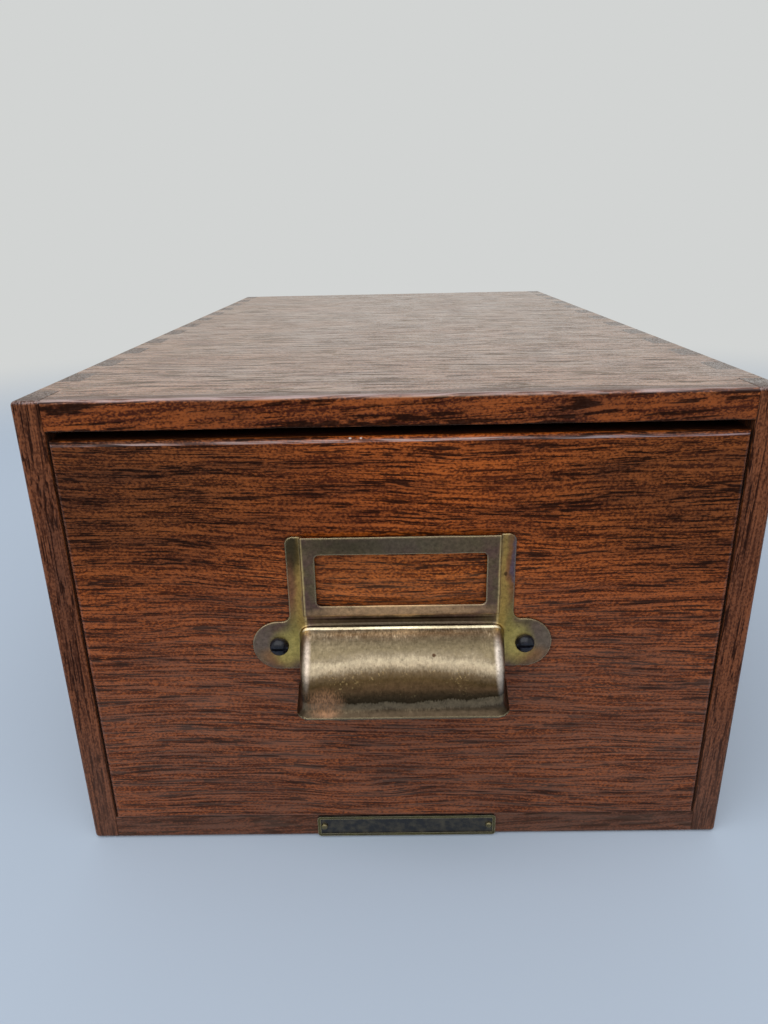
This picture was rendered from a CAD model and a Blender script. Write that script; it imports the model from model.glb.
"""Looks of a table-top index card drawer: oak case, oak drawer front, pressed brass pull and steel follower.

Lengths are in metres in the row frame (origin in the middle of the case's underside, +Y from front to rear, +Z up).
The finishes work in millimetres on each part's own coordinates, so that every pattern moves with its part.
"""

import logging
import math
from dataclasses import dataclass
from enum import Enum
from functools import partial
from typing import Callable

import bpy
from mathutils import Matrix, Vector

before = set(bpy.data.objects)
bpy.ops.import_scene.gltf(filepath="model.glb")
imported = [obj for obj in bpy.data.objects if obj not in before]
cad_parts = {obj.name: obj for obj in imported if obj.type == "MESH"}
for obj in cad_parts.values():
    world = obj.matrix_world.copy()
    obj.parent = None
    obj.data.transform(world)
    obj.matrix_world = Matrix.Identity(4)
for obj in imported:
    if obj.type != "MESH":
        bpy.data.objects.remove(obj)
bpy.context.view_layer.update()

LOG = logging.getLogger("card_drawer")
MM = 0.001

# the bare wood inside the case: half its width, its middle and half its height, and where it ends
INSIDE_HALF_WIDTH_MM = 88.0
INSIDE_MIDDLE_MM = 68.2
INSIDE_HALF_HEIGHT_MM = 60.9
INSIDE_REAR_MM = 155.8
# where the stain fades out, from front to rear: in the case's mouth, and behind the drawer front
MOUTH_STAIN_MM = (-146.0, -142.0)
FRONT_STAIN_MM = (-147.6, -147.2)
# how far apart the boards lie in the tree, per step of their seeds
SEED_MM = 131.7

Link = bpy.types.Node | bpy.types.NodeSocket
AddNode = Callable[..., bpy.types.Node]
Spot = bpy.types.bpy_prop_collection
Colour = tuple[float, float, float, float]


class Axis(Enum):
    """An axis of the row frame, by its place in a vector."""

    X = 0
    Y = 1
    Z = 2


class Reach(Enum):
    """How far the stain and shellac go on a board."""

    ALL_ROUND = "every face"
    OUTSIDE = "the case's outside and a finger's width into its mouth"
    FACE = "the drawer front's face and edges"


class Edge(Enum):
    """How a mark ends."""

    RAGGED = "moved about by noise"
    BROKEN = "in its exact place, with gaps in it"
    CLEAN = "in its exact place and whole"


class Blend(Enum):
    """How a mark changes the colour under it."""

    COVER = "MIX"
    DARKEN = "MULTIPLY"
    BRIGHTEN = "DODGE"


def linear(code: str) -> Colour:
    """Turns an sRGB colour into the linear colour that Blender's sockets take.

    Args:
        code: The colour as "#rrggbb".

    Returns:
        Red, green, blue and an alpha of 1.
    """
    parts = [int(code[i : i + 2], 16) / 255 for i in (1, 3, 5)]
    red, green, blue = (c / 12.92 if c <= 0.04045 else ((c + 0.055) / 1.055) ** 2.4 for c in parts)
    return red, green, blue, 1.0


def add_node(
    tree: bpy.types.NodeTree,
    kind: str,
    sockets: dict[str | int, object] | None = None,
    stops: tuple[tuple[float, str], ...] = (),
    **settings: object,
) -> bpy.types.Node:
    """Adds one node with its settings and links.

    Args:
        tree: The node tree that takes the node.
        kind: The node's type, without the "ShaderNode" that they all start with.
        sockets: Each input's name or place, with a value, a "#rrggbb" colour, a socket or a node (its first output).
        stops: Places and "#rrggbb" colours of a colour ramp.
        settings: The node's own settings.

    Returns:
        The node.
    """
    made = tree.nodes.new("ShaderNode" + kind)
    for name, value in settings.items():
        setattr(made, name, value)
    for count, (position, code) in enumerate(stops):
        ramp = made.color_ramp.elements
        stop = ramp[count] if count < 2 else ramp.new(position)
        stop.position, stop.color = position, linear(code)
    for key, value in (sockets or {}).items():
        if isinstance(key, int):
            socket = made.inputs[key]
        else:
            socket = next(entry for entry in made.inputs if entry.name == key and entry.enabled)
        if isinstance(value, bpy.types.Node):
            value = next(result for result in value.outputs if result.enabled)
        if isinstance(value, bpy.types.NodeSocket):
            tree.links.new(value, socket)
        else:
            socket.default_value = linear(value) if isinstance(value, str) else value
    return made


def new_material(name: str) -> tuple[bpy.types.Material, AddNode]:
    """Makes an empty node material.

    Args:
        name: The material's name.

    Returns:
        The material, and add_node for its tree.
    """
    material = bpy.data.materials.new(name)
    material.use_nodes = True
    material.node_tree.nodes.clear()
    return material, partial(add_node, material.node_tree)


def in_millimetres(node: AddNode) -> bpy.types.Node:
    """Gives the surface point in millimetres, on the part's own coordinates.

    Args:
        node: add_node for the material's tree.

    Returns:
        The node that gives the point.
    """
    return node("VectorMath", {0: node("TexCoord").outputs["Object"], "Scale": 1 / MM}, operation="SCALE")


def dress(names: list[str], material: bpy.types.Material) -> None:
    """Puts one material on whole CAD nodes.

    Args:
        names: The CAD nodes.
        material: The finish that they show.
    """
    for name in names:
        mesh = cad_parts[name].data
        mesh.materials.clear()
        mesh.materials.append(material)
        LOG.info("%s: %s", name, material.name)


@dataclass(frozen=True)
class PressedSheet:
    """How stamping rounds a sheet part: every bend and edge softened, and the flats left slightly wavy."""

    grid_mm: float = 0.25
    passes: int = 8
    pass_share: float = 0.5
    keep: float = 0.22
    wave_mm: float = 0.16
    wave_span_mm: float = 9.0

    def press(self, name: str) -> None:
        """Softens one CAD node with modifiers; its own mesh stays as it is.

        Args:
            name: The CAD node.
        """
        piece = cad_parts[name]
        remesh = piece.modifiers.new("even_skin", "REMESH")
        remesh.mode, remesh.voxel_size, remesh.use_smooth_shade = "VOXEL", self.grid_mm * MM, True
        soften = piece.modifiers.new("soft_bends", "SMOOTH")
        soften.factor, soften.iterations = self.pass_share, self.passes
        thin = piece.modifiers.new("fewer_faces", "DECIMATE")
        thin.ratio = self.keep
        waves = bpy.data.textures.new(name + "_waves", "CLOUDS")
        waves.noise_scale = self.wave_span_mm * MM
        uneven = piece.modifiers.new("uneven_flats", "DISPLACE")
        uneven.texture, uneven.texture_coords, uneven.strength = waves, "LOCAL", self.wave_mm * MM


@dataclass(frozen=True)
class Patch:
    """A soft-edged mark on a surface: its middle and half-sizes in millimetres, its colour and how much of it shows."""

    middle: tuple[float, float, float]
    half: tuple[float, float, float]
    colour: str
    strength: float
    fade: float = 0.45
    edge: Edge = Edge.RAGGED
    blend: Blend = Blend.COVER

    def lay(self, node: AddNode, place: Link, uneven: Link, breaks: Link, ground: Link) -> Link:
        """Lays the mark over a colour.

        Args:
            node: add_node for the material's tree.
            place: The surface point in millimetres.
            uneven: The same point moved a little by noise, for a mark with a ragged edge.
            breaks: A noise that breaks up a mark with an exact edge.
            ground: The colour under the mark.

        Returns:
            The node that gives the marked colour.
        """
        point = uneven if self.edge is Edge.RAGGED else place
        offset = node("VectorMath", {0: point, 1: self.middle}, operation="SUBTRACT")
        shrunk = node("VectorMath", {0: offset, 1: self.half}, operation="DIVIDE")
        distance = node("VectorMath", {0: shrunk}, operation="LENGTH").outputs["Value"]
        ends = {"From Min": 1.0 + self.fade, "From Max": 1.0 - self.fade, "To Max": self.strength}
        amount = node("MapRange", {0: distance, **ends}, interpolation_type="SMOOTHSTEP")
        if self.edge is Edge.BROKEN:
            kept = node("MapRange", {0: breaks, "From Min": 0.4, "From Max": 0.6, "To Min": 0.15})
            amount = node("Math", {0: amount, 1: kept}, operation="MULTIPLY")
        colours = {"Factor": amount, "A": ground, "B": self.colour}
        return node("Mix", colours, data_type="RGBA", blend_type=self.blend.value)


@dataclass(frozen=True)
class StainedOak:
    """Flat-sawn red oak, planed, stained brown with a dark paste in its pores, and rubbed down with satin shellac.

    The shellac gives soft highlights that turn milky at a low angle. The open spring pores show as dark broken dashes
    along the grain, crowded where a year begins, and the summer wood between them shows as plain orange-brown bands.

    Attributes:
        seed: Which part of the tree the board comes from.
        bare: The light, middle and pore colours where the board was left unfinished.
        pith: How far the trunk's middle lies, across the board and below its face, in millimetres.
        lean: How the board leans in its trunk, in radians.
        bar: How high the noise has to be to show a pore, in summer wood and in spring wood.
        coarse: How much broader than on the drawer front the pores are drawn.
        depth: How much the pores change with depth, as a share of how they change across the board.
        polish: The coat on an upward face that has been waxed, or 0.
        dust: The weight of the dusty sheen.
        roughness: The lowest and the highest.
    """

    name: str
    grain: Axis
    face: Axis
    seed: float
    reach: Reach = Reach.ALL_ROUND
    light: str = "#a8541a"
    mid: str = "#502108"
    dark: str = "#331305"
    pore: str = "#200c05"
    bare: tuple[str, str, str] = ("#b48d5c", "#94693c", "#5e4027")
    ring_mm: float = 4.2
    pith: tuple[float, float] = (30.0, 60.0)
    lean: tuple[float, float] = (0.05, 0.025)
    bar: tuple[float, float] = (0.585, 0.47)
    coarse: float = 1.0
    depth: float = 0.5
    specular: float = 0.05
    coat: float = 0.3
    polish: float = 0.0
    coat_ior: float = 1.5
    dust: float = 0.0
    roughness: tuple[float, float] = (0.28, 0.46)
    patches: tuple[Patch, ...] = ()

    def unfinished(self, node: AddNode, place: Link, sway: Link) -> Link | float:
        """Finds where the board was left bare.

        Args:
            node: add_node for the material's tree.
            place: The surface point in millimetres.
            sway: A noise of a few millimetres, for the ragged end of the stain in the case's mouth.

        Returns:
            1 where the wood is bare, and 0 where it is finished.
        """
        if self.reach is Reach.ALL_ROUND:
            return 0.0
        spot = node("SeparateXYZ", {0: place}).outputs
        if self.reach is Reach.FACE:
            return node("MapRange", {0: spot[1], "From Min": FRONT_STAIN_MM[0], "From Max": FRONT_STAIN_MM[1]})
        behind = node("Math", {0: spot[1], 1: sway}, operation="ADD")
        mouth = node("MapRange", {0: behind, "From Min": MOUTH_STAIN_MM[0], "From Max": MOUTH_STAIN_MM[1]})
        tests = (
            node("Math", {0: spot[0], 1: 0.0, 2: INSIDE_HALF_WIDTH_MM}, operation="COMPARE"),
            node("Math", {0: spot[2], 1: INSIDE_MIDDLE_MM, 2: INSIDE_HALF_HEIGHT_MM}, operation="COMPARE"),
            node("Math", {0: spot[1], 1: INSIDE_REAR_MM}, operation="LESS_THAN"),
        )
        for test in tests:
            mouth = node("Math", {0: mouth, 1: test}, operation="MULTIPLY")
        return mouth

    def in_trunk(self, node: AddNode, place: Link) -> tuple[Link, Link]:
        """Puts the board back in its trunk.

        Args:
            node: add_node for the material's tree.
            place: The surface point in millimetres.

        Returns:
            The point in the trunk (along the grain, across the board, below its face), and the same point moved as the
            rings wander.
        """
        xyz = node("SeparateXYZ", {0: place}).outputs
        across = next(axis for axis in Axis if axis not in (self.grain, self.face))
        board = node("CombineXYZ", {0: xyz[self.grain.value], 1: xyz[across.value], 2: xyz[self.face.value]})
        turned = {"Location": (self.seed * SEED_MM, 0, 0), "Rotation": (0, *self.lean)}
        leaning = node("Mapping", {0: board, **turned})
        # the trunk was not straight: its rings wander by some millimetres over a hand's breadth
        slow = node("Mapping", {0: leaning, "Scale": (1 / 120, 1 / 45, 1 / 45)})
        wander = node("TexNoise", {0: slow, "Scale": 1.0, "Detail": 3.0, "Roughness": 0.45})
        wander_mm = node("MapRange", {0: wander, "To Min": -7.0, "To Max": 7.0})
        return leaning, node("VectorMath", {0: leaning, 1: node("CombineXYZ", {1: wander_mm})}, operation="ADD")

    def spring_wood(self, node: AddNode, bent: Link) -> Link:
        """Finds where the pores crowd.

        Args:
            node: add_node for the material's tree.
            bent: The point in the trunk, with the bends of its grain.

        Returns:
            From 0 in plain summer wood to 1 in the thick of the spring wood.
        """
        rings = node("VectorMath", {0: bent, 1: (0.0, 1.0, 1.0)}, operation="MULTIPLY")
        radius = node("VectorMath", {0: rings, 1: (0.0, *self.pith)}, operation="DISTANCE").outputs["Value"]
        year = node("Math", {0: radius, 1: 2 * math.pi / self.ring_mm}, operation="MULTIPLY")
        season = node("Math", {0: year}, operation="SINE")
        spring = node("MapRange", {0: season, "From Min": -0.7, "From Max": 0.8}, interpolation_type="SMOOTHSTEP")
        # clumps of pores and plain patches, a fingertip to a thumb wide
        clumps = node("Mapping", {0: bent, "Scale": (1 / 18, 1 / 6, 1 / 6)})
        clump = node("TexNoise", {0: clumps, "Scale": 1.0, "Detail": 2.0, "Roughness": 0.6})
        crowd = node("MapRange", {0: clump, "From Min": 0.36, "From Max": 0.6, "To Min": 0.2, "To Max": 1.0})
        return node("Math", {0: spring, 1: crowd}, operation="MULTIPLY")

    def stretched(self, node: AddNode, bent: Link, length_mm: float, width_mm: float) -> Link:
        """Gives noise coordinates for long marks.

        Args:
            node: add_node for the material's tree.
            bent: The point in the trunk, with the bends of its grain.
            length_mm: Their length along the grain.
            width_mm: Their width across it, on the drawer front.

        Returns:
            The node that gives the coordinates.
        """
        scale = (1 / length_mm, 1 / (width_mm * self.coarse), self.depth / width_mm)
        return node("Mapping", {0: bent, "Scale": scale})

    def pores(self, node: AddNode, bent: Link, wanted: Link) -> Link:
        """Draws the vessels: 0.3 mm wide in oak, drawn twice as wide so that they show, and about a centimetre long.

        Args:
            node: add_node for the material's tree.
            bent: The point in the trunk, with the bends of its grain.
            wanted: How much the pores crowd.

        Returns:
            1 in a pore and 0 beside it.
        """
        lines = node("TexNoise", {0: self.stretched(node, bent, 34, 0.52), "Scale": 1.0, "Detail": 1.0})
        bar = node("MapRange", {0: wanted, "To Min": self.bar[0], "To Max": self.bar[1]})
        over = node("Math", {0: lines, 1: bar}, operation="SUBTRACT")
        drawn = node("MapRange", {0: over, "From Min": -0.03, "From Max": 0.04}, interpolation_type="SMOOTHSTEP")
        cuts = node("TexNoise", {0: self.stretched(node, bent, 5, 0.8), "Scale": 1.0, "Detail": 2.0})
        cut = node("MapRange", {0: cuts, "From Min": 0.4, "From Max": 0.52}, interpolation_type="SMOOTHSTEP")
        return node("Math", {0: drawn, 1: cut}, operation="MULTIPLY")

    def film(self, node: AddNode, place: Link, height: Link, stain: Link, raw: Link | float) -> Link | float:
        """Finds how much gloss the shellac has: it lies smooth on the summer wood, and sinks into the pores.

        Args:
            node: add_node for the material's tree.
            place: The surface point in millimetres.
            height: The fine relief of the wood.
            stain: The stain's slow noise.
            raw: 1 where the wood is bare.

        Returns:
            The coat's weight.
        """
        if not self.coat:
            return 0.0
        coat = node("MapRange", {0: height, "From Min": -0.4, "To Max": self.coat})
        if self.polish:
            # the top has been waxed and wiped for years, but less along its front edge, where hands have rubbed it
            upward = node("SeparateXYZ", {0: node("TexCoord").outputs["Normal"]}).outputs[2]
            top = node("MapRange", {0: upward, "From Min": 0.9, "From Max": 0.99})
            waxed = node("MapRange", {0: height, "From Min": -0.5, "From Max": 0.7, "To Max": self.polish})
            spot = node("SeparateXYZ", {0: place}).outputs
            causes = ((spot[1], -161.0, -155.0, 0.2), (spot[0], -95.0, -20.0, 0.65), (stain, 0.35, 0.6, 0.8))
            for cause, least_at, most_at, least in causes:
                share = node("MapRange", {0: cause, "From Min": least_at, "From Max": most_at, "To Min": least})
                waxed = node("Math", {0: waxed, 1: share}, operation="MULTIPLY")
            coat = node("Mix", {"Factor": top, "A": coat, "B": waxed}, data_type="FLOAT")
        if self.reach is not Reach.ALL_ROUND:
            coat = node("Mix", {"Factor": raw, "A": coat, "B": 0.0}, data_type="FLOAT")
        return coat

    def build(self) -> bpy.types.Material:
        """Makes the material.

        Returns:
            The material.
        """
        material, node = new_material(self.name)
        place = in_millimetres(node)
        leaning, bent = self.in_trunk(node, place)
        wanted = self.spring_wood(node, bent)
        dashes = self.pores(node, bent, wanted)
        # fibres: lengthwise streaks in the stain about a millimetre apart, with the cut pores' fine speckle on them
        streaks = self.stretched(node, bent, 24, 0.56)
        fibre = node("TexNoise", {0: streaks, "Scale": 1.0, "Detail": 2.0, "Roughness": 0.6})
        speck_place = node("Mapping", {0: bent, "Scale": (1 / 0.8, 1 / 0.5, 1 / 0.5)})
        speck = node("TexNoise", {0: speck_place, "Scale": 1.0, "Detail": 2.0})
        specked = node("Math", {0: speck, 1: 1.0, 2: -0.5}, operation="MULTIPLY_ADD")
        fine = node("Math", {0: fibre, 1: specked}, operation="ADD")
        streak = node("MapRange", {0: fine, "From Min": 0.35, "From Max": 0.65})
        wood = node("Mix", {"Factor": streak, "A": self.mid, "B": self.light}, data_type="RGBA")
        year = node("Math", {0: wanted, 1: 0.34}, operation="MULTIPLY")
        banded = node("Mix", {"Factor": year, "A": wood, "B": self.dark}, data_type="RGBA")
        stain_place = node("Mapping", {0: leaning, "Scale": (1 / 26, 1 / 13, 1 / 13)})
        stain = node("TexNoise", {0: stain_place, "Scale": 1.0, "Detail": 4.0, "Roughness": 0.55})
        patchy = node("MapRange", {0: stain, "From Min": 0.42, "From Max": 0.68, "To Max": 0.4})
        stained = node("Mix", {"Factor": patchy, "A": banded, "B": self.dark}, data_type="RGBA")
        filled = node("Math", {0: dashes, 1: 0.9}, operation="MULTIPLY")
        colour = node("Mix", {"Factor": filled, "A": stained, "B": self.pore}, data_type="RGBA")
        sway = node("VectorMath", {0: stain.outputs["Color"], 1: (9.0,) * 3, 2: (-4.5,) * 3}, operation="MULTIPLY_ADD")
        uneven = node("VectorMath", {0: place, 1: sway}, operation="ADD")
        for patch in self.patches:
            colour = patch.lay(node, place, uneven, fibre, colour)
        # end grain drinks more stain and shows darker
        facing = node("VectorMath", {0: node("TexCoord").outputs["Normal"]}, operation="ABSOLUTE")
        ends = node("SeparateXYZ", {0: facing}).outputs[self.grain.value]
        end_grain = node("MapRange", {0: ends, "From Min": 0.6, "From Max": 0.9, "To Max": 0.45})
        colour = node("Mix", {"Factor": end_grain, "A": colour, "B": self.dark}, data_type="RGBA")
        raw = self.unfinished(node, place, node("SeparateXYZ", {0: sway}).outputs[0])
        sheen = node("MapRange", {0: fibre, "To Min": self.roughness[0], "To Max": self.roughness[1]})
        if self.reach is not Reach.ALL_ROUND:
            pale = node("Mix", {"Factor": streak, "A": self.bare[1], "B": self.bare[0]}, data_type="RGBA")
            open_pores = node("Math", {0: filled, 1: 0.7}, operation="MULTIPLY")
            dry = node("Mix", {"Factor": open_pores, "A": pale, "B": self.bare[2]}, data_type="RGBA")
            colour = node("Mix", {"Factor": raw, "A": colour, "B": dry}, data_type="RGBA")
            sheen = node("Mix", {"Factor": raw, "A": sheen, "B": 0.65}, data_type="FLOAT")
        height = node("Math", {0: streak, 1: dashes}, operation="SUBTRACT")
        bump = node("Bump", {"Strength": 0.5, "Distance": 0.05 * MM, "Height": height})
        shader = node(
            "BsdfPrincipled",
            {
                "Base Color": colour,
                "Roughness": sheen,
                "IOR": 1.5,
                "Specular IOR Level": self.specular,
                "Coat Weight": self.film(node, place, height, stain, raw),
                "Coat Roughness": 0.14,
                "Coat IOR": self.coat_ior,
                "Sheen Weight": self.dust,
                "Sheen Roughness": 0.4,
                "Sheen Tint": "#e6d8c8",
                "Normal": bump,
                "Coat Normal": bump,
            },
        )
        node("OutputMaterial", {"Surface": shader})
        return material


@dataclass(frozen=True)
class BareOak(StainedOak):
    """Planed oak that was never finished: dry and pale brown, with its pores open and a little dirt in them."""

    light: str = "#b8925f"
    mid: str = "#9a7145"
    dark: str = "#80592f"
    pore: str = "#55391f"
    specular: float = 0.25
    coat: float = 0.0
    roughness: tuple[float, float] = (0.55, 0.75)


@dataclass(frozen=True)
class AgedBrass:
    """Pressed sheet brass whose lacquer has gone: olive and violet-brown from handling, with edges rubbed bright.

    The film of tarnish dulls the mirror to a soft sheen. Fine rubbing marks and small pits break that sheen up.
    """

    name: str
    olive: str = "#6a5a43"
    violet: str = "#694f46"
    worn: str = "#d8c9a0"
    pit: str = "#3a3122"
    patches: tuple[Patch, ...] = ()
    wear_mm: float = 0.5

    def over(self, node: AddNode, place: Link, uneven: Link, breaks: Link, colour: Link) -> Link:
        """Lays what this brass has over the tarnish.

        Args:
            node: add_node for the material's tree.
            place: The surface point in millimetres.
            uneven: The same point moved a little by noise.
            breaks: A noise that breaks up the marks with exact edges.
            colour: The tarnished colour.

        Returns:
            The colour with its marks.
        """
        for patch in self.patches:
            colour = patch.lay(node, place, uneven, breaks, colour)
        return colour

    def build(self) -> bpy.types.Material:
        """Makes the material.

        Returns:
            The material.
        """
        material, node = new_material(self.name)
        place = in_millimetres(node)
        cloud = node("TexNoise", {0: place, "Scale": 1 / 7, "Detail": 4.0, "Roughness": 0.6})
        clouds = node("MapRange", {0: cloud, "From Min": 0.38, "From Max": 0.64}, interpolation_type="SMOOTHSTEP")
        tarnish = node("Mix", {"Factor": clouds, "A": self.olive, "B": self.violet}, data_type="RGBA")
        sway = node("VectorMath", {0: cloud.outputs["Color"], 1: (4.0,) * 3, 2: (-2.0,) * 3}, operation="MULTIPLY_ADD")
        uneven = node("VectorMath", {0: place, 1: sway}, operation="ADD")
        marked = self.over(node, place, uneven, cloud, tarnish)
        # specks and rubbing marks: 0.2 mm pits, drawn 0.4 mm wide, and hairlines along the sheet
        pit = node("TexVoronoi", {0: place, "Scale": 1 / 1.6})
        pits = node("MapRange", {0: pit, "From Min": 0.2, "From Max": 0.08})
        grime = node("TexNoise", {0: place, "Scale": 1 / 1.1, "Detail": 3.0, "Roughness": 0.7})
        mottle = node("MapRange", {0: grime, "From Min": 0.3, "From Max": 0.72, "To Min": 0.68, "To Max": 1.28})
        shaded = node("VectorMath", {0: marked, "Scale": mottle}, operation="SCALE")
        pitting = node("Math", {0: pits, 1: 0.35}, operation="MULTIPLY")
        pitted = node("Mix", {"Factor": pitting, "A": shaded, "B": self.pit}, data_type="RGBA")
        # an edge shows where the surface turns away from its own rounding
        rounded = node("Bevel", {"Radius": self.wear_mm * MM}, samples=4)
        flat = node("NewGeometry").outputs["Normal"]
        turned = node("VectorMath", {0: rounded, 1: flat}, operation="DOT_PRODUCT").outputs["Value"]
        rubbed = node("MapRange", {0: turned, "From Min": 0.99, "From Max": 0.92, "To Max": 0.9})
        colour = node("Mix", {"Factor": rubbed, "A": pitted, "B": self.worn}, data_type="RGBA")
        rough = node("MapRange", {0: grime, "To Min": 0.3, "To Max": 0.48})
        relief = node("Math", {0: grime, 1: pits}, operation="SUBTRACT")
        bump = node("Bump", {"Strength": 0.3, "Distance": 0.03 * MM, "Height": relief})
        shader = node("BsdfPrincipled", {"Base Color": colour, "Metallic": 1.0, "Roughness": rough, "Normal": bump})
        node("OutputMaterial", {"Surface": shader})
        return material


@dataclass(frozen=True)
class CupBrass(AgedBrass):
    """The pull's brass: fingertips keep the top of its cup bright, while the hollow over its lip has gone dark."""

    cup_front_mm: float = -164.4
    low_mm: float = 54.0
    high_mm: float = 76.0
    half_mm: float = 25.0
    arch_mm: float = 2.0
    climb_mm: float = 1.2
    wave_mm: float = 1.0
    dither_mm: float = 0.8
    glint: str = "#a88f62"
    shoulder_mm: tuple[float, float] = (-166.0, -164.5)
    shoulder_low_mm: tuple[float, float] = (73.0, 73.6)
    roll_mm: float = 0.7
    bands: tuple[tuple[float, str], ...] = (
        (0.0, "#463b2e"), (0.14, "#4d4133"), (0.17, "#6f604c"), (0.2, "#75654f"), (0.245, "#685a46"),
        (0.262, "#342a1c"), (0.31, "#3c3022"), (0.35, "#433525"), (0.43, "#5b4631"), (0.53, "#4c3c26"),
        (0.6, "#5a4b38"), (0.645, "#7d6f5b"), (0.675, "#988972"), (0.72, "#a2947c"), (0.765, "#827560"),
        (0.81, "#776a52"), (0.86, "#94856a"), (0.885, "#ac9d82"), (0.91, "#e8ddc0"),
    )

    def moved(self, node: AddNode, spot: Spot) -> Link:
        """Finds how far the bands leave their own height.

        The bright ones sag towards both ends, and the lip's shade climbs towards the right, in small waves.

        Args:
            node: add_node for the material's tree.
            spot: The surface point's three coordinates in millimetres.

        Returns:
            Twice the shift in millimetres.
        """
        aside = node("Math", {0: spot[0], 1: spot[0]}, operation="MULTIPLY")
        arch = node("MapRange", {0: aside, "From Max": self.half_mm**2, "To Max": 2 * self.arch_mm})
        high = node("MapRange", {0: spot[2], "From Min": 72.5, "From Max": 70.0})
        sag = node("Math", {0: arch, 1: high}, operation="MULTIPLY")
        ends = {"From Min": -6.0, "From Max": 22.0, "To Max": -2 * self.climb_mm}
        climb = node("MapRange", {0: spot[0], **ends}, interpolation_type="SMOOTHSTEP")
        low = node("MapRange", {0: spot[2], "From Min": 64.0, "From Max": 61.0})
        shift = node("Mix", {"Factor": low, "A": sag, "B": climb}, data_type="FLOAT")
        noise = node("TexNoise", {"W": spot[0], "Scale": 1 / 11, "Detail": 1.0}, noise_dimensions="1D")
        waves = node("Math", {0: noise, 1: 4 * self.wave_mm, 2: -2 * self.wave_mm}, operation="MULTIPLY_ADD")
        wavy = node("Math", {0: waves, 1: low}, operation="MULTIPLY")
        return node("Math", {0: shift, 1: wavy}, operation="ADD")

    def over(self, node: AddNode, place: Link, uneven: Link, breaks: Link, colour: Link) -> Link:
        """Lays the cup's bright and dark bands over the tarnish, then the marks.

        Args:
            node: add_node for the material's tree.
            place: The surface point in millimetres.
            uneven: The same point moved a little by noise.
            breaks: A noise of some millimetres, for the places where the rubbed specks crowd.
            colour: The tarnished colour.

        Returns:
            The colour with its bands and marks.
        """
        even, ragged = (node("SeparateXYZ", {0: point}).outputs for point in (place, uneven))
        # rubbing lines a third of a millimetre apart, drawn up and down by fingertips
        brushed = node("Mapping", {0: place, "Scale": (1 / 0.4, 1 / 1.5, 1 / 0.9)})
        sand = node("TexNoise", {0: brushed, "Scale": 1.0, "Detail": 1.0})
        # the heights are counted double, from the exact point and the moved one together
        middle = node("Math", {0: even[2], 1: ragged[2]}, operation="ADD")
        bent = node("Math", {0: middle, 1: self.moved(node, even)}, operation="ADD")
        dither = node("Math", {0: sand, 1: 4 * self.dither_mm, 2: -2 * self.dither_mm}, operation="MULTIPLY_ADD")
        height = node("Math", {0: bent, 1: dither}, operation="ADD")
        share = node("MapRange", {0: height, "From Min": 2 * self.low_mm, "From Max": 2 * self.high_mm})
        band = node("ValToRGB", {0: share}, stops=self.bands)
        # rubbed specks, half a millimetre wide, in the shade above the lip
        grains = node("TexNoise", {0: place, "Scale": 1 / 0.6, "Detail": 1.0})
        glint = node("MapRange", {0: grains, "From Min": 0.6, "From Max": 0.7})
        crowded = node("MapRange", {0: breaks, "From Min": 0.46, "From Max": 0.64, "To Max": 0.5})
        shaded = node("MapRange", {0: bent, "From Min": 2 * 69.5, "From Max": 2 * 67.5})
        on_face = node("MapRange", {0: even[2], "From Min": 60.5, "From Max": 62.0})
        for limit in (crowded, shaded, on_face):
            glint = node("Math", {0: glint, 1: limit}, operation="MULTIPLY")
        specked = node("Mix", {"Factor": glint, "A": band.outputs["Color"], "B": self.glint}, data_type="RGBA")
        forward = node("MapRange", {0: even[1], "From Min": self.cup_front_mm, "From Max": self.cup_front_mm - 0.6})
        below_frame = node("MapRange", {0: even[2], "From Min": self.high_mm, "From Max": self.high_mm - 1.0})
        proud = node("Math", {0: forward, 1: below_frame}, operation="MULTIPLY")
        banded = node("Mix", {"Factor": proud, "A": colour, "B": specked}, data_type="RGBA")
        return super().over(node, place, uneven, sand, banded)

    def build(self) -> bpy.types.Material:
        """Makes the material, with the cup's top edge rolled over: a bend too tight for the sheet's own shape.

        Returns:
            The material.
        """
        material = super().build()
        node = partial(add_node, material.node_tree)
        grain = next(entry for entry in material.node_tree.nodes if entry.type == "BUMP")
        spot = node("SeparateXYZ", {0: in_millimetres(node)}).outputs
        front, rear = self.shoulder_mm
        ends = {"From Min": front, "From Max": rear, "To Max": self.roll_mm}
        fall = node("MapRange", {0: spot[1], **ends}, interpolation_type="SMOOTHSTEP")
        rise = node("MapRange", {0: spot[1], "From Min": rear + 0.3, "From Max": rear})
        top = node("MapRange", {0: spot[2], "From Min": self.shoulder_low_mm[0], "From Max": self.shoulder_low_mm[1]})
        ridge = node("Math", {0: fall, 1: rise}, operation="MULTIPLY")
        rolled = node("Math", {0: ridge, 1: top}, operation="MULTIPLY")
        bend = node("Bump", {"Strength": 1.0, "Distance": MM, "Height": rolled})
        material.node_tree.links.new(bend.outputs[0], grain.inputs["Normal"])
        return material


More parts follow.
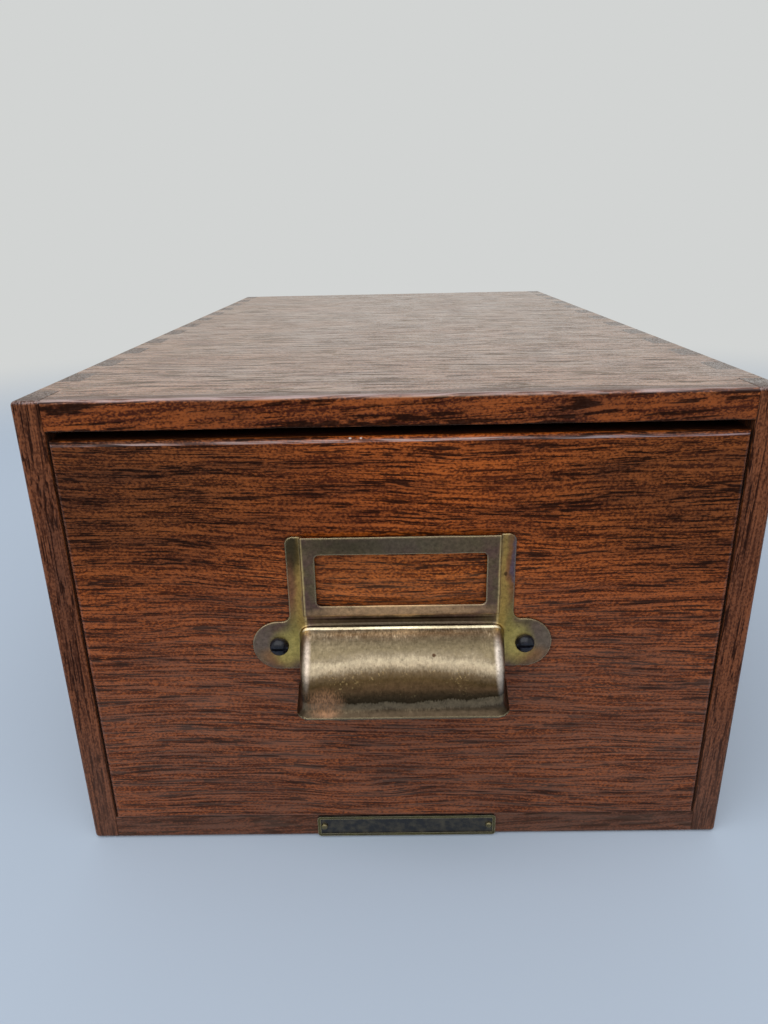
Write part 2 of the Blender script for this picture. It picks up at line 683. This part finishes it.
@dataclass(frozen=True)
class EnamelledBrass(AgedBrass):
    """The plate's brass, etched 0.25 mm deep between its borders and filled with black enamel, now dull and dusty."""

    field_mm: float = -162.5
    enamel: str = "#141416"
    dust: str = "#5b5440"

    def build(self) -> bpy.types.Material:
        """Makes the material.

        Returns:
            The material.
        """
        material = super().build()
        node = partial(add_node, material.node_tree)
        output = next(entry for entry in material.node_tree.nodes if entry.type == "OUTPUT_MATERIAL")
        brass = output.inputs["Surface"].links[0].from_node
        place = in_millimetres(node)
        dust = node("TexNoise", {0: place, "Scale": 1 / 2.2, "Detail": 4.0, "Roughness": 0.65})
        dusty = node("MapRange", {0: dust, "From Min": 0.42, "From Max": 0.72, "To Max": 0.5})
        colour = node("Mix", {"Factor": dusty, "A": self.enamel, "B": self.dust}, data_type="RGBA")
        rough = node("MapRange", {0: dust, "To Min": 0.32, "To Max": 0.6})
        enamel = node("BsdfPrincipled", {"Base Color": colour, "Roughness": rough})
        depth = node("SeparateXYZ", {0: place}).outputs[1]
        sunk = node("MapRange", {0: depth, "From Min": self.field_mm - 0.04, "From Max": self.field_mm + 0.04})
        both = node("MixShader", {0: sunk, 1: brass, 2: enamel})
        material.node_tree.links.new(both.outputs[0], output.inputs["Surface"])
        return material


@dataclass(frozen=True)
class JapannedSteel:
    """Steel screws dipped in black japan and baked: a deep blue-black gloss, rubbed brown here and there."""

    name: str = "black_japan_on_steel"
    japan: str = "#080b16"
    rubbed: str = "#211f2a"

    def build(self) -> bpy.types.Material:
        """Makes the material.

        Returns:
            The material.
        """
        material, node = new_material(self.name)
        place = in_millimetres(node)
        grit = node("TexNoise", {0: place, "Scale": 1 / 0.9, "Detail": 3.0, "Roughness": 0.6})
        spots = node("MapRange", {0: grit, "From Min": 0.5, "From Max": 0.75})
        colour = node("Mix", {"Factor": spots, "A": self.japan, "B": self.rubbed}, data_type="RGBA")
        rough = node("MapRange", {0: grit, "To Min": 0.22, "To Max": 0.4})
        bump = node("Bump", {"Strength": 0.25, "Distance": 0.03 * MM, "Height": grit})
        shader = node(
            "BsdfPrincipled",
            {
                "Base Color": colour,
                "Roughness": rough,
                "Specular IOR Level": 0.3,
                "Coat Weight": 0.15,
                "Coat Roughness": 0.12,
                "Normal": bump,
            },
        )
        node("OutputMaterial", {"Surface": shader})
        return material


@dataclass(frozen=True)
class PlatedSteel:
    """Rolled and plated steel, dulled by years in the drawer: fine draw lines, and darker where the plating is thin."""

    name: str
    along: Axis = Axis.Y
    bright: str = "#b4b3ae"
    dull: str = "#85847f"
    spots: str = "#5a4c3e"

    def build(self) -> bpy.types.Material:
        """Makes the material.

        Returns:
            The material.
        """
        material, node = new_material(self.name)
        place = in_millimetres(node)
        # draw lines 0.1 mm apart, drawn 0.3 mm apart
        scale = tuple(1 / 30 if axis is self.along else 1 / 0.3 for axis in Axis)
        lines = node("TexNoise", {0: node("Mapping", {0: place, "Scale": scale}), "Scale": 1.0, "Detail": 2.0})
        cloud = node("TexNoise", {0: place, "Scale": 1 / 6, "Detail": 5.0, "Roughness": 0.65})
        metal = node("Mix", {"Factor": lines, "A": self.dull, "B": self.bright}, data_type="RGBA")
        spotted = node("MapRange", {0: cloud, "From Min": 0.56, "From Max": 0.7, "To Max": 0.6})
        colour = node("Mix", {"Factor": spotted, "A": metal, "B": self.spots}, data_type="RGBA")
        rough = node("MapRange", {0: cloud, "From Min": 0.3, "From Max": 0.7, "To Min": 0.3, "To Max": 0.55})
        bump = node("Bump", {"Strength": 0.2, "Distance": 0.02 * MM, "Height": lines})
        shader = node("BsdfPrincipled", {"Base Color": colour, "Metallic": 1.0, "Roughness": rough, "Normal": bump})
        node("OutputMaterial", {"Surface": shader})
        return material


@dataclass
class Camera:
    """The camera: its place in millimetres and its three turns in degrees."""

    place: tuple[float, float, float] = (-1.23, -340.055, 172.99)
    yaw: float = 0.83
    pitch: float = 20.579
    roll: float = 1.235
    lens_mm: float = 25.995

    def build(self) -> None:
        """Makes the camera and sets it as the scene's."""
        yaw, pitch, roll = map(math.radians, (self.yaw, self.pitch, self.roll))
        turn_yaw = Matrix(((math.cos(yaw), -math.sin(yaw), 0), (math.sin(yaw), math.cos(yaw), 0), (0, 0, 1)))
        turn_pitch = Matrix(((1, 0, 0), (0, math.cos(pitch), math.sin(pitch)), (0, -math.sin(pitch), math.cos(pitch))))
        turn_roll = Matrix(((math.cos(roll), 0, math.sin(roll)), (0, 1, 0), (-math.sin(roll), 0, math.cos(roll))))
        right, forward, up = (turn_yaw @ turn_pitch @ turn_roll).transposed()
        data = bpy.data.cameras.new("camera")
        data.sensor_width = 36.0
        data.lens = self.lens_mm
        data.clip_start = 0.01
        camera = bpy.data.objects.new("camera", data)
        bpy.context.scene.collection.objects.link(camera)
        turn = Matrix((right, up, -forward)).transposed().to_4x4()
        camera.matrix_world = Matrix.Translation(Vector(self.place) * MM) @ turn
        bpy.context.scene.camera = camera
        LOG.info("camera")


@dataclass
class Studio:
    """A plain pale table, an off-white surround, and one large soft lamp above and in front."""

    floor_colour: str = "#bfcee0"
    surround: str = "#d2d4d3"
    fill: float = 0.5
    lamp_watts: float = 24.0
    lamp_size: tuple[float, float] = (2.6, 2.2)
    lamp_place: tuple[float, float, float] = (-0.3, -1.1, 1.35)
    lamp_aim: tuple[float, float, float] = (0.0, 0.0, 0.05)
    floor_half: float = 6.0
    floor_drop: float = 0.0002
    fade: tuple[float, float] = (0.42, 1.0)

    def seen(self, node: AddNode) -> bpy.types.Node:
        """Tells rays that show the backdrop, to the eye or in a gloss, from those that only carry light.

        Args:
            node: add_node for the tree.

        Returns:
            The node that gives 1 for a ray that shows the backdrop.
        """
        rays = node("LightPath").outputs
        first = node("Math", {0: rays["Is Camera Ray"], 1: rays["Is Glossy Ray"]}, operation="MAXIMUM")
        return node("Math", {0: first, 1: rays["Is Transmission Ray"]}, operation="MAXIMUM")

    def build(self) -> None:
        """Makes the floor, the surround and the lamp."""
        bpy.context.scene.view_settings.view_transform = "Standard"
        half = self.floor_half
        mesh = bpy.data.meshes.new("table")
        mesh.from_pydata([(-half, -half, 0), (half, -half, 0), (half, half, 0), (-half, half, 0)], [], [(0, 1, 2, 3)])
        floor = bpy.data.objects.new("table", mesh)
        bpy.context.scene.collection.objects.link(floor)
        floor.location.z = -self.floor_drop
        material, node = new_material("matt_table")
        cloth = node("BsdfPrincipled", {"Base Color": self.floor_colour, "Roughness": 0.75, "Specular IOR Level": 0.2})
        away = node("VectorMath", {0: node("TexCoord").outputs["Object"]}, operation="LENGTH").outputs["Value"]
        ends = {"From Min": self.fade[0], "From Max": self.fade[1]}
        far = node("MapRange", {0: away, **ends}, interpolation_type="SMOOTHSTEP")
        shown = node("Math", {0: far, 1: self.seen(node)}, operation="MULTIPLY")
        backdrop = node("Emission", {"Color": self.surround})
        node("OutputMaterial", {"Surface": node("MixShader", {0: shown, 1: cloth, 2: backdrop})})
        mesh.materials.append(material)

        world = bpy.data.worlds.new("surround")
        world.use_nodes = True
        world.node_tree.nodes.clear()
        bpy.context.scene.world = world
        node = partial(add_node, world.node_tree)
        light = node("Background", {"Color": "#ffffff", "Strength": self.fill})
        backdrop = node("Background", {"Color": self.surround, "Strength": 1.0})
        both = node("MixShader", {0: self.seen(node), 1: light, 2: backdrop})
        node("OutputWorld", {"Surface": both})

        lamp_data = bpy.data.lights.new("soft_lamp", "AREA")
        lamp_data.shape = "RECTANGLE"
        lamp_data.size, lamp_data.size_y = self.lamp_size
        lamp_data.energy = self.lamp_watts
        lamp = bpy.data.objects.new("soft_lamp", lamp_data)
        bpy.context.scene.collection.objects.link(lamp)
        lamp.location = self.lamp_place
        lamp.rotation_mode = "QUATERNION"
        lamp.rotation_quaternion = (Vector(self.lamp_aim) - lamp.location).to_track_quat("-Z", "Y")
        LOG.info("studio")


@dataclass
class Case:
    """The comb-jointed oak case and its bare plate, in millimetres."""

    height: float = 136.5
    front: float = -163.0
    past_side: float = 130.0

    def build(self) -> None:
        """Dresses the case."""
        top, front, wide = self.height, self.front, self.past_side
        outside = partial(StainedOak, reach=Reach.OUTSIDE, polish=1.0, coat_ior=1.7, dust=0.12)
        # the top: a milky film, thicker towards the rear; an arris chipped pale, with the wood behind it rubbed dark
        hazy = Patch((0, 0, top + 0.4), (300, 400, 0.8), "#a5886c", 0.42, 0.25, Edge.BROKEN)
        faded = Patch((0, 80, top + 0.4), (300, 210, 0.8), "#c0ab96", 0.4, 0.7, Edge.BROKEN)
        rubbed = Patch((0, front + 3.8, top + 0.3), (150, 2.9, 1.0), "#5c4034", 0.9, 0.3, Edge.CLEAN)
        chipped = Patch((0, front + 1.7, top), (wide, 1.1, 0.8), "#c0aaa8", 0.8, 0.4, Edge.BROKEN)
        scratch = Patch((-40, front + 24.5, top), (4.0, 2.6, 0.6), "#f2eeea", 0.9, 0.5)
        shaded = Patch((0, front + 1, top - 6), (150, 1.5, 5.5), "#d8c27c", 1.0, 0.1, Edge.CLEAN, Blend.DARKEN)
        # the foot of the case: duller and greyer from the table's dust
        foot = ((0, front, 4), (wide, 20, 40))
        dull = Patch(*foot, "#6a4d40", 0.36, 0.5)
        scuffed = Patch(*foot, "#6a5348", 0.5, 0.5, Edge.BROKEN)
        grimy = Patch(*foot, "#d8d6d2", 1.0, 0.5, Edge.CLEAN, Blend.DARKEN)
        side = partial(outside, light="#7d4420", mid="#4c2612", dark="#2c150a", lean=(0.02, 0.0), depth=1.0)
        side_marks = (hazy, rubbed, chipped, dull)
        dress(["case_left_side"], side("left_side_oak", Axis.Z, Axis.X, 3.1, patches=side_marks).build())
        dress(["case_right_side"], side("right_side_oak", Axis.Z, Axis.X, 7.7, patches=side_marks).build())
        above = partial(outside, light="#b26222", bar=(0.565, 0.45), coarse=2.2, dust=0.32)
        top_marks = (hazy, faded, rubbed, chipped, scratch, shaded)
        dress(["case_top"], above("top_oak", Axis.X, Axis.Z, 1.3, pith=(60.0, 60.0), patches=top_marks).build())
        dress(["case_bottom"], outside("bottom_oak", Axis.X, Axis.Z, 5.9, patches=(dull, scuffed, grimy)).build())
        dress(["case_back"], outside("back_oak", Axis.X, Axis.Y, 9.2).build())
        plate = EnamelledBrass("enamelled_plate_brass", olive="#6f6643", violet="#655c48", wear_mm=0.25)
        dress(["nameplate"], plate.build())
        pins = AgedBrass("pin_brass", olive="#7d7452", violet="#6e6350", wear_mm=0.2)
        dress(["nameplate_pins"], pins.build())
        dress(["back_brads", "stop_brads"], PlatedSteel("brad_steel").build())
        dress(["drawer_stops"], BareOak("stop_oak", Axis.X, Axis.Z, 2.2).build())


@dataclass
class Drawer:
    """The drawer box behind its oak front, and the brass pull on it."""

    pull_x: float = 0.3
    screw_x: float = 33.45
    screw_z: float = 68.2
    crease_x: float = 25.8
    front: float = -163.0

    def pull_finish(self) -> CupBrass:
        """Places the pull's marks: yellow-green by its screws and creases, and a coppery stain and a dent on the cup.

        Returns:
            The pull's finish.
        """
        middle, front = self.pull_x, self.front
        # the card frame's top bar and sill, the dark crease under the sill, and the cup's bright rim
        marks = [
            Patch((middle, front, 98.4), (24, 4, 3.0), "#5a5142", 0.7, 0.5),
            Patch((middle - 15, front, 98.4), (10, 4, 3.0), "#3a3322", 0.5, 0.6),
            Patch((middle + 16, front, 98.4), (9, 4, 3.0), "#6a5c42", 0.45, 0.6),
            Patch((middle, front - 2, 79.1), (23, 2, 1.8), "#c49a70", 0.85, 0.4),
            Patch((middle, front - 0.8, 75.4), (26, 1.2, 1.4), "#44382a", 0.9, 0.4),
            Patch((middle, front - 0.8, 76.25), (26.5, 2, 0.32), "#1c0e06", 0.9, 0.5, Edge.CLEAN),
            Patch((middle, front - 0.8, 74.85), (26, 0.5, 0.22), "#8a7a66", 0.7, 0.5, Edge.CLEAN),
            Patch((middle, front - 0.8, 74.45), (26.5, 0.6, 0.26), "#150c06", 0.85, 0.4, Edge.CLEAN),
            Patch((middle, front - 2.1, 74.2), (26.4, 0.6, 0.6), "#c6b896", 0.9, 0.4, Edge.CLEAN),
            Patch((middle - 2, front - 2.1, 74.2), (8.0, 0.5, 0.6), "#fbf2d0", 0.9, 0.8, Edge.CLEAN),
        ]
        for side in (-1, 1):
            screw = middle + side * self.screw_x
            crease = middle + side * self.crease_x
            # an ear browned outside, coppery below and yellow-green inside, and a flange bright at its crease
            marks += [
                Patch((screw + side * 4.2, front, self.screw_z), (3.4, 3, 7.0), "#7c6a5c", 0.7, 0.6),
                Patch((screw + side * 0.6, front, self.screw_z - 3.4), (5.0, 3, 2.6), "#a8703e", 0.55, 0.6),
                Patch((screw - side * 2.8, front, self.screw_z), (4.4, 3, 5.4), "#c9b264", 0.8, 0.5),
                Patch((crease + side * 2.2, front, self.screw_z + 6), (2.4, 3, 6.5), "#a48f4c", 0.7, 0.6),
                Patch((crease + side * 1.1, front, 86), (1.2, 4, 15), "#b8924c", 0.75, 0.6),
                Patch((crease, front, 86), (0.35, 4, 17), "#e9c98a", 0.5, 0.5, Edge.CLEAN),
            ]
        # the cup's worn sides, the flanges' brown and violet stains, the copper stain by the lip, and the dent
        marks += [
            Patch((middle - 25.0, front - 11, 70), (0.8, 8, 5.4), "#e2d0c2", 0.6, 0.8, Edge.CLEAN),
            Patch((middle + 25.2, front - 11, 69.6), (0.9, 8, 5.8), "#f2e4d8", 0.75, 0.8, Edge.CLEAN),
            Patch((middle - 28.8, front, 96), (2.6, 4, 6), "#38301f", 0.8, 0.5),
            Patch((middle - 29.2, front, 85), (1.6, 4, 7.5), "#95603c", 0.6, 0.6),
            Patch((middle + 28.5, front, 90), (1.0, 4, 10), "#94603a", 0.7, 0.6),
            Patch((middle + 29.6, front, 92), (0.8, 4, 9), "#5f5260", 0.7, 0.5),
            Patch((middle + 27.8, front, 88.9), (0.5, 2, 0.7), "#3a2c1c", 0.8, 0.4),
            Patch((middle - 20.4, front - 15, 59.0), (4.0, 4, 2.8), "#8f6a52", 0.6, 0.6),
            Patch((middle - 20.2, front - 15, 60.0), (4.2, 4, 3.0), "#b8845c", 0.6, 0.6, Edge.BROKEN),
            Patch((middle + 8.2, front - 10.4, 70.4), (0.5, 3, 0.32), "#4a3526", 0.95, 0.4, Edge.CLEAN),
        ]
        return CupBrass("pull_brass", patches=tuple(marks))

    def build(self) -> None:
        """Dresses the drawer."""
        front = self.front
        # cool upper corners, a greyer foot, a chipped arris, dark gaps and a lighter window
        marks = (
            Patch((-75, front, 116), (46, 30, 26), "#c4d2f0", 1.0, 0.6, blend=Blend.DARKEN),
            Patch((0, front, 24), (130, 30, 56), "#6a5348", 0.5, 0.5, Edge.BROKEN),
            Patch((0, front, 24), (130, 30, 56), "#4e3c35", 0.12, 0.5),
            Patch((0, front + 0.1, 125.35), (110, 0.9, 0.36), "#bca5a0", 0.75, 0.4, Edge.BROKEN),
            Patch((-11.8, front + 0.2, 126.0), (0.34, 0.5, 0.2), "#e4dcd2", 0.7, 0.5, Edge.CLEAN),
            Patch((-9.1, front + 0.2, 126.0), (0.28, 0.5, 0.2), "#e4dcd2", 0.6, 0.5, Edge.CLEAN),
            Patch((-86.6, front + 0.4, 67), (0.7, 0.7, 62), "#8c6f66", 0.2, 0.4, Edge.BROKEN),
            Patch((86.6, front + 0.4, 67), (0.7, 0.7, 62), "#8c6f66", 0.2, 0.4, Edge.BROKEN),
            Patch((0, -100, 126.4), (4000, 61.9, 0.55), "#20100a", 0.92, 0.006, Edge.CLEAN),
            Patch((0, front + 0.4, 8.1), (110, 1.2, 0.5), "#150a06", 0.9, 0.4, Edge.CLEAN),
            Patch((0, front, 88), (34, 3, 12), "#8e9978", 1.0, 0.5, blend=Blend.BRIGHTEN),
            Patch((75, front, 112), (34, 30, 22), "#cdd8ea", 1.0, 0.6, blend=Blend.DARKEN),
        )
        board = StainedOak("front_oak", Axis.X, Axis.Y, 0.4, Reach.FACE, pith=(150.0, -110.0), patches=marks)
        dress(["drawer_front"], board.build())
        dress(["drawer_left_side"], BareOak("drawer_left_oak", Axis.Y, Axis.X, 4.4).build())
        dress(["drawer_right_side"], BareOak("drawer_right_oak", Axis.Y, Axis.X, 6.1).build())
        dress(["drawer_back"], BareOak("drawer_back_oak", Axis.X, Axis.Y, 8.3).build())
        dress(["drawer_bottom"], BareOak("drawer_bottom_oak", Axis.X, Axis.Z, 2.9).build())
        dress(["card_pull"], self.pull_finish().build())
        PressedSheet().press("card_pull")
        dress(["pull_screws"], JapannedSteel().build())
        dress(
            ["front_left_brads", "front_right_brads", "bottom_brads", "follower_rail", "rail_screws"],
            PlatedSteel("drawer_steel").build(),
        )


@dataclass
class Follower:
    """The block that holds the cards up, its sliding shoe and its catch lever."""

    def build(self) -> None:
        """Dresses the follower."""
        dress(["follower_block"], StainedOak("block_oak", Axis.X, Axis.Y, 5.2).build())
        dress(["follower_shoe", "block_screws", "lever_pin", "follower_lever"], PlatedSteel("follower_steel").build())


def main() -> None:
    """Builds the scene in order."""
    logging.basicConfig(level=logging.INFO, format="%(message)s")
    for part in (Camera(), Studio(), Case(), Drawer(), Follower()):
        part.build()


if __name__ == "__main__":
    main()
